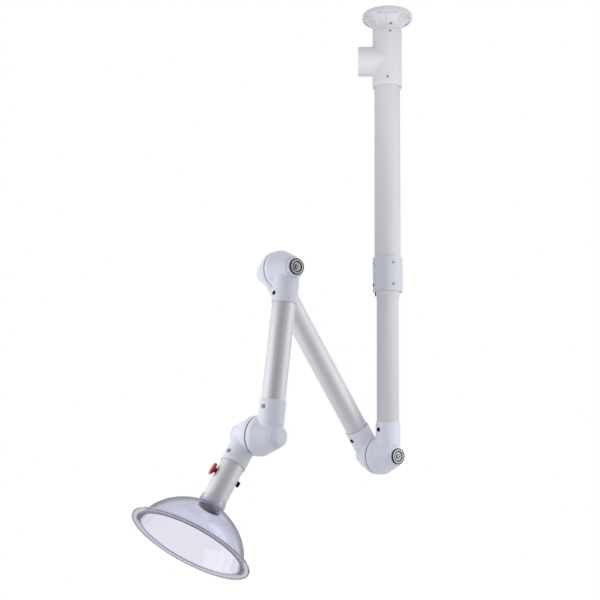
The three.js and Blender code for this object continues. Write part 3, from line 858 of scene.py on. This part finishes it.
def end_cap():
    """Blank cap: a shadow gap at its foot, a tapered side, a thin seam and a rounded disc."""
    skirt = KNOB_FOOT + CAP_FOOT_GAP
    seam_low = CAP_SEAM - 0.6
    seam_floor_r = CAP_SEAM_R - 0.8
    disc = smooth_outline(
        [(CAP_SEAM_R, CAP_SEAM + 2), (27.2, 93.6), (24.4, 95.4), (20, CAP_FACE)]
    )
    outline = [
        (0, CAP_FACE - 2),
        (CAP_ROOM_R, CAP_FACE - 2),
        (CAP_ROOM_R, KNOB_FOOT),
        (BELL_END_R - 4, KNOB_FOOT),
        (BELL_END_R - 4, skirt),
        (BELL_END_R - 0.8, skirt),
        (BELL_END_R - 1.4, KNOB_FOOT + 3.4),
        (CAP_SEAM_R + 1, seam_low),
        (seam_floor_r, seam_low),
        (seam_floor_r, CAP_SEAM),
        (CAP_SEAM_R, CAP_SEAM),
        *disc,
        (0, CAP_FACE),
    ]
    return turned(outline, edge=0.25)


def knob_body(skirted):
    """White body of a tension knob, with a skirt round the grip ring on the wrist."""
    hub = KNOB_RING_R - 4.5
    skirt_inner = KNOB_RING_R + 0.3
    skirt = [
        (KNOB_R, KNOB_FACE - 3),
        (KNOB_R - 2, KNOB_FACE),
        (skirt_inner, KNOB_FACE),
        (skirt_inner, KNOB_RING_LOW),
    ]
    shoulder = [(KNOB_R - 0.6, KNOB_FOOT + 4.5), (KNOB_RING_R + 1.6, KNOB_RING_LOW)]
    outline = [
        (KNOB_BORE_R, KNOB_FOOT),
        (KNOB_R, KNOB_FOOT),
        *(skirt if skirted else shoulder),
        (hub, KNOB_RING_LOW),
        (hub, KNOB_HUB_FACE),
        (BEARING_R + PLAY, KNOB_HUB_FACE),
        (BEARING_R + PLAY, KNOB_RECESS),
        (KNOB_BORE_R, KNOB_RECESS),
        (KNOB_BORE_R, KNOB_FOOT),
    ]
    return turned(outline, edge=0.4)


def knob_ring():
    """Black grip ring, with a rabbet for the rim of the bearing."""
    low = KNOB_RING_LOW + 0.2
    inner = KNOB_RING_R - 4.2
    lip = BEARING_RIM_R + 0.3
    rabbet = KNOB_FACE - 1.6
    outline = [
        (inner, low),
        (KNOB_RING_R, low),
        (KNOB_RING_R, KNOB_FACE),
        (lip, KNOB_FACE),
        (lip, rabbet),
        (inner, rabbet),
        (inner, low),
    ]
    return turned(outline, edge=0.5)


def knob_bearing():
    """Bearing of two rings with a groove between them; the outer rim covers the knob's hub."""
    rim_low = KNOB_FACE - 1.5
    rim = KNOB_FACE - 0.7
    race = KNOB_FACE - 2
    outline = [
        (BEARING_BORE_R, BEARING_LOW),
        (BEARING_R, BEARING_LOW),
        (BEARING_R, rim_low),
        (BEARING_RIM_R, rim_low),
        (BEARING_RIM_R, rim),
        (GROOVE_OUTER_R, rim),
        (GROOVE_OUTER_R, GROOVE_FLOOR),
        (GROOVE_INNER_R, GROOVE_FLOOR),
        (GROOVE_INNER_R, race),
        (BEARING_BORE_R, race),
        (BEARING_BORE_R, BEARING_LOW),
    ]
    return turned(outline, edge=0.3)


def bearing_shield():
    """Black shield in the groove of the bearing."""
    inner = GROOVE_INNER_R + SHIELD_PLAY
    outer = GROOVE_OUTER_R - SHIELD_PLAY
    return turned(ring(inner, outer, GROOVE_FLOOR + SHIELD_PLAY, SHIELD_FACE), edge=0.3)


def hex_recess(radius, low, high):
    return sharp_turned(rod(radius, low, high), 6)


def tension_rod():
    """Rod through a joint, with a domed head at the knob and a thread at the cap."""
    seat = KNOB_FACE - 1.6
    top = seat + 3
    dome = smooth_outline([(8.5, seat), (8.1, seat + 1.6), (6.0, seat + 2.7), (4.4, top)], 3)
    outline = [
        (0, ROD_END),
        (THREAD_R, ROD_END),
        (THREAD_R, -BELL_END),
        (ROD_R, -BELL_END),
        (ROD_R, seat),
        *dome,
        (0, top),
    ]
    shank = turned(outline, edge=0.2, steps=ROD_STEPS)
    return fused([shank], [hex_recess(4.2, seat + 1, seat + 5)])


def button_screw(radius, height):
    """Button-head screw: its seat at Z 0, a short shank below and a hexagon recess in its head."""
    side = [(radius, 0), (radius, 0.45 * height), (0.72 * radius, 0.93 * height)]
    dome = smooth_outline([*side, (0.5 * radius, height)], 3)
    shank = 0.5 * radius
    outline = [(0, -3), (shank, -3), (shank, 0), *dome, (0, height)]
    head = turned(outline, edge=0.15, steps=SCREW_STEPS)
    return fused([head], [hex_recess(0.46 * radius, 0.35 * height, 2 * height)])


# Damper and hood. The damper's pieces stand on the shaft, and the hood on its rim.
def damper_knob():
    """Scalloped hand knob on the outer end of the shaft."""
    mesh = bmesh.new()
    radius = DAMPER_KNOB_R * MM
    made = bmesh.ops.create_circle(mesh, cap_ends=True, radius=radius, segments=WIDE_STEPS)
    for vert in made["verts"]:
        angle = math.atan2(vert.co.y, vert.co.x)
        vert.co *= 1 - SCALLOP_DEPTH * (1 + math.cos(SCALLOP_COUNT * angle))
        vert.co.z = DAMPER_KNOB_SEAT * MM
    extended(mesh, list(mesh.faces), (0, 0, DAMPER_KNOB_HEIGHT * MM))
    rims = [e for e in mesh.edges if e.calc_face_angle(0) > KNOB_RIM_ANGLE]
    round_edges(mesh, rims, DAMPER_KNOB_EDGE, 4)
    return mesh


def damper_bush():
    outline = ring(DAMPER_BORE_R, DAMPER_BUSH_R, DAMPER_SEAT, DAMPER_KNOB_SEAT - 0.3)
    return turned(outline, edge=0.4, steps=ROD_STEPS)


def damper_nut():
    """Blind nut on the inner end of the shaft."""
    outline = [
        (DAMPER_BORE_R, DAMPER_SEAT),
        (DAMPER_NUT_R, DAMPER_SEAT),
        (DAMPER_NUT_R, DAMPER_NUT_FACE),
        (0, DAMPER_NUT_FACE),
        (0, DAMPER_NUT_FLOOR),
        (DAMPER_BORE_R, DAMPER_NUT_FLOOR),
        (DAMPER_BORE_R, DAMPER_SEAT),
    ]
    return turned(outline, edge=1.2, steps=ROD_STEPS)


def damper_shaft():
    return turned(rod(DAMPER_SHAFT_R, *DAMPER_SHAFT_ENDS), edge=0.3, steps=ROD_STEPS)


def damper_disc():
    return turned(rod(DAMPER_DISC_R, -DAMPER_DISC_HALF, DAMPER_DISC_HALF), edge=0.6)


def hood():
    """Clear dome with a flat rim, a raised lip and a neck sleeve."""
    dome = [(168, 8), (158.5, 34), (145, 58), (123, 83), (95, 104), (66, 120), (46, 130)]
    outside = smooth_outline(dome, 5)
    slant = HOOD_WALL * math.sqrt(0.5)
    inside = [(r - HOOD_WALL, h - slant) for r, h in reversed(outside)]
    lip_inner = HOOD_RIM_R - HOOD_WALL
    bore = TUBE_R + SLEEVE_PLAY
    outline = [
        (HOOD_MOUTH_R, 0),
        (HOOD_RIM_R, 0),
        (HOOD_RIM_R, HOOD_LIP),
        (lip_inner, HOOD_LIP),
        (lip_inner, HOOD_WALL),
        (175, HOOD_WALL),
        *outside,
        (bore + 4, 136),
        (bore + 2, HOOD_NECK_TOP),
        (bore, HOOD_NECK_TOP),
        (bore, 133),
        *inside,
        (HOOD_MOUTH_R, 0),
    ]
    return turned(outline, edge=1.0, steps=HOOD_STEPS)


# Dressing of the frame.
def dress_column():
    show("ceiling_flange", ceiling_flange(), FITTING_WHITE)
    show("tee_fitting", tee_fitting(), FITTING_WHITE)
    upright = tube_finish("column_pipe", ORIGIN, UP, 0.0)
    show("upper_tube", tube(UPPER_TUBE_BOTTOM, UPPER_TUBE_TOP, UPPER_TUBE_R), upright)
    show("column_coupling", column_coupling(), COUPLING_SHADED_WHITE)
    show("swivel_bush", swivel_bush(), FITTING_WHITE)
    lower_tube_bottom = SHOULDER.z / MM + SOCKET_SEAT + PLAY
    show("lower_tube", tube(lower_tube_bottom, LOWER_TUBE_TOP), upright)


def dress_joint(joint, origin, knob, knob_socket, cap_socket):
    """All pieces of one joint, given its knob side and the directions of its two sockets."""
    steel = steel_finish(f"{joint}_steel", origin, knob, JOINT_SHADE)
    towards_knob = standing(origin, knob, knob_socket)
    towards_cap = standing(origin, -knob, cap_socket)
    half = joint_housing()
    other = half.copy()
    show(f"{joint}_knob_housing", half, JOINT_WHITE, towards_knob)
    show(f"{joint}_cap_housing", other, JOINT_WHITE, towards_cap)
    show(f"{joint}_seal_ring", seal_ring(), SEAL, towards_knob)
    show(f"{joint}_end_cap", end_cap(), JOINT_WHITE, towards_cap)
    show(f"{joint}_knob", knob_body(joint == "wrist"), JOINT_WHITE, towards_knob)
    show(f"{joint}_knob_ring", knob_ring(), RUBBER, towards_knob)
    show(f"{joint}_knob_bearing", knob_bearing(), steel, towards_knob)
    show(f"{joint}_tension_rod", tension_rod(), steel, towards_knob)
    body = BODY_OF[f"{joint}_knob"]
    shield = f"{joint}_bearing_shield"
    add_piece(shield, bearing_shield(), RUBBER, body, towards_knob)
    for node in (f"{joint}_rod_washer", f"{joint}_rod_nut"):
        coat(node, steel)


def dress_arm():
    dress_joint("shoulder", SHOULDER, SHOULDER_KNOB, UP, BOOM)
    dress_joint("elbow", ELBOW, ELBOW_KNOB, FOREARM, -BOOM)
    dress_joint("wrist", WRIST, WRIST_KNOB, HEAD, -FOREARM)
    boom_place = standing(BOOM_START, BOOM, SHOULDER_KNOB)
    boom_pipe = tube_finish("boom_pipe", BOOM_START, BOOM, ARM_SHEEN)
    show("boom_tube", tube(TUBE_START, BOOM_LENGTH - TUBE_START), boom_pipe, boom_place)
    forearm_place = standing(FOREARM_START, FOREARM, ELBOW_KNOB)
    forearm_pipe = tube_finish("forearm_pipe", FOREARM_START, FOREARM, ARM_SHEEN)
    forearm_tube = tube(TUBE_START, FOREARM_LENGTH - TUBE_START)
    show("forearm_tube", forearm_tube, forearm_pipe, forearm_place)


def dress_head():
    place = standing(HEAD_START, HEAD, WRIST_KNOB)
    damper_tube = tube(TUBE_START, HOOD_FROM_WRIST - DAMPER_TUBE_END)
    damper_pipe = tube_finish("damper_pipe", HEAD_START, HEAD, ARM_SHEEN)
    show("damper_tube", damper_tube, damper_pipe, place)
    show("hood", hood(), CLEAR, standing(HOOD_RIM, -HEAD, WRIST_KNOB))
    shaft = -joint_axis("damper_turn")
    spot = joint_spot("damper_turn")
    outwards = standing(spot, shaft, HEAD)
    inwards = standing(spot, -shaft, HEAD)
    show("damper_knob", damper_knob(), RED, outwards)
    show("damper_bush", damper_bush(), DARK, outwards)
    show("damper_nut", damper_nut(), DARK, inwards)
    show("damper_shaft", damper_shaft(), SHAFT_STEEL, outwards)
    open_disc = standing(spot, shaft.cross(HEAD), shaft)
    show("damper_disc", damper_disc(), FITTING_WHITE, open_disc)


# Small screws of the fittings: degrees round the column, height, and radius of the seat.
FITTING_SCREWS = [
    *((azimuth, UPPER_SCREW_ROW, COUPLING_R) for azimuth in (-70, -160, 110, 20)),
    *((azimuth, LOWER_SCREW_ROW, COUPLING_R) for azimuth in (-70, 110, 20)),
    (-78, -50, TEE_SWELL_R),
    (-80, -76, TEE_R),
    (-90, -244, TEE_SWELL_R),
]
DARK_SCREW = (-160, LOWER_SCREW_ROW, COUPLING_R)


def dress_screws():
    """Clamp screws of the sockets and the bush, and the small screws of the fittings."""
    column = (ORIGIN, UP)
    boom = (BOOM_START, BOOM)
    forearm = (FOREARM_START, FOREARM)
    head = (HEAD_START, HEAD)
    clamps = [
        ("bush_clamp_screw", column, DARK, BUSH_RING_R),
        ("shoulder_column_screw", column, DARK, SOCKET_R),
        ("shoulder_boom_screw", boom, DARK, SOCKET_R),
        ("elbow_boom_screw", boom, DARK, SOCKET_R),
        ("elbow_forearm_screw", forearm, DARK, SOCKET_R),
        ("wrist_forearm_screw", forearm, DULL_STEEL, SOCKET_R),
        ("wrist_damper_screw", head, DULL_STEEL, SOCKET_R),
    ]
    for node, (start, along), finish, seat in clamps:
        low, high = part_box(node)
        centre = (low + high) / 2
        foot = start + (centre - start).dot(along) * along
        outwards = (centre - foot).normalized()
        place = standing(foot + seat * MM * outwards, outwards, along)
        show(node, button_screw(*CLAMP_SCREW), finish, place)
    for i, spot in enumerate(FITTING_SCREWS):
        add_small_screw(f"fitting_screw_{i + 1}", spot, DULL_STEEL)
    add_small_screw("coupling_dark_screw", DARK_SCREW, DARK)


def add_small_screw(name, spot, finish):
    azimuth, height, radius = spot
    angle = math.radians(azimuth)
    outwards = Vector((math.cos(angle), math.sin(angle), 0))
    seat = radius * MM * outwards + height * MM * UP
    place = standing(seat, outwards, UP)
    add_piece(name, button_screw(*SMALL_SCREW), finish, "column", place)


# Studio: floor, light and camera. The sky glows from a few sides over a dim base, and each lamp
# has its spot, the point that it faces, its width and height in metres, its watts and its spread
# in degrees.
SKY_BASE = 0.05
SKY_GLOW = [
    ((-1, 0, 0), 0.20),
    ((0, -1, 0), 0.33),
    ((0, 1, 0), 1.00),
    ((0, 0, 1), 0.60),
]
LAMPS = {
    "left_strip": ((-1.35, -0.25, -1.3), (-0.4, -0.25, -1.3), (0.6, 1.6), 2.7, 180),
    "left_front_panel": ((-1.4, -0.9, -1.3), (-0.4, -0.25, -1.3), (0.8, 1.5), 5.6, 180),
    "right_strip": ((0.95, -0.28, -0.9), (0.0, 0.0, -0.9), (0.6, 2.2), 8.0, 180),
    "column_strip": ((0.45, -1.5, -0.35), (0.02, 0.0, -0.45), (0.4, 1.2), 0.65, 50),
    "shoulder_fill": ((0.7, -1.5, -1.3), (0.05, 0.0, -1.3), (0.4, 0.8), 0.3, 50),
    "tee_fill": ((-0.5, -1.3, -0.9), (-0.05, 0.0, -0.15), (0.3, 0.3), 0.23, 35),
}

# Floor, in metres, far enough below the part for every pose. The background dims towards the
# camera over these spans of Y: metres on the floor, and of the view's direction in the sky.
FLOOR_R = 3.0
FLOOR_DROP = 1.0
FLOOR_MIDDLE = (-0.3, -0.2)
FLOOR_FADE = (-2.6, 0.35)
SKY_FADE = (-0.7, 0.2)
DIMMEST = 0.18


def dress_studio():
    add_floor()
    add_sky()
    for name, settings in LAMPS.items():
        add_lamp(name, *settings)


def add_floor():
    low = cad_box[0].z - FLOOR_DROP
    floor = bmesh.new()
    bmesh.ops.create_circle(floor, cap_ends=True, radius=FLOOR_R, segments=WIDE_STEPS)
    data = bpy.data.meshes.new("floor")
    moved(floor, Matrix.Translation((*FLOOR_MIDDLE, low))).to_mesh(data)
    floor.free()
    stage = bpy.data.objects.new("floor", data)
    bpy.context.scene.collection.objects.link(stage)
    material, finish = new_finish("pale_floor")
    ahead = finish.along(finish.spots(), "Y")
    matt = finish.node("BsdfDiffuse", {}, {"Color": rgba(0.9, 0.9, 0.9)})
    white = finish.node("Emission", {}, {"Strength": backdrop(finish, ahead, FLOOR_FADE)})
    finish.output(Surface=finish.mix_shaders(seen_directly(finish), matt, white))
    data.materials.append(material)


def add_sky():
    world = bpy.data.worlds.new("studio")
    bpy.context.scene.world = world
    sky = Finish(world)
    view = sky.node("TexCoord", output="Generated")
    glow = SKY_BASE
    for side, strength in SKY_GLOW:
        dot = {0: view, 1: side}
        facing = sky.node("VectorMath", {"operation": "DOT_PRODUCT"}, dot, "Value")
        lobe = sky.math("MAXIMUM", facing, 0.0)
        glow = glow + strength * lobe * lobe
    soft = sky.node("Background", {}, {"Color": rgba(0.97, 0.98, 1.0), "Strength": glow})
    bright = backdrop(sky, sky.along(view, "Y"), SKY_FADE)
    white = sky.node("Background", {}, {"Color": rgba(1, 1, 1), "Strength": bright})
    sky.output("World", Surface=sky.mix_shaders(seen_directly(sky), soft, white))


def backdrop(finish, ahead, fade):
    """White to the camera and through clear plastic; reflections see it dim towards the camera."""
    dimmed = finish.ramp(ahead, fade, DIMMEST, 1.0)
    return finish.math("MAXIMUM", finish.ray("Camera") + finish.ray("Transmission"), dimmed)


def seen_directly(finish):
    """1 for rays that show the background: straight, in a reflection or through clear plastic."""
    straight_or_mirrored = finish.ray("Camera") + finish.ray("Glossy")
    return finish.math("MAXIMUM", straight_or_mirrored, finish.ray("Transmission"))


def add_lamp(name, spot, target, size, watts, spread):
    data = bpy.data.lights.new(name, "AREA")
    data.shape = "RECTANGLE"
    data.size, data.size_y = size
    data.energy = watts
    data.spread = math.radians(spread)
    lamp = bpy.data.objects.new(name, data)
    lamp.matrix_world = standing(Vector(spot), Vector(spot) - Vector(target), Vector((0, 1, 0)))
    lamp.visible_camera = False
    bpy.context.scene.collection.objects.link(lamp)


def place_camera():
    """Camera of the photograph: its spot, its focal length in pixels, and its angles in degrees."""
    spot = Vector((-0.1196, -3.2110, -1.4670))
    focal_pixels = 947.0
    image_pixels = 600
    turn, tilt, roll = (math.radians(a) for a in (-3.21, 7.90, 0.61))
    level = Vector((math.sin(turn) * math.cos(tilt), math.cos(turn) * math.cos(tilt), 0))
    forward = level + math.sin(tilt) * UP
    right = Vector((math.cos(turn), -math.sin(turn), 0))
    up = right.cross(forward)
    across = math.cos(roll) * right + math.sin(roll) * up
    data = bpy.data.cameras.new("camera")
    data.sensor_width = 36
    data.lens = focal_pixels / image_pixels * data.sensor_width
    camera = bpy.data.objects.new("camera", data)
    camera.matrix_world = standing(spot, -forward, across)
    bpy.context.scene.collection.objects.link(camera)
    bpy.context.scene.camera = camera


dress_column()
dress_arm()
dress_head()
dress_screws()
coat("slide_seal_ring", RUBBER)
dress_studio()
place_camera()
bpy.context.scene.view_settings.view_transform = "Standard"
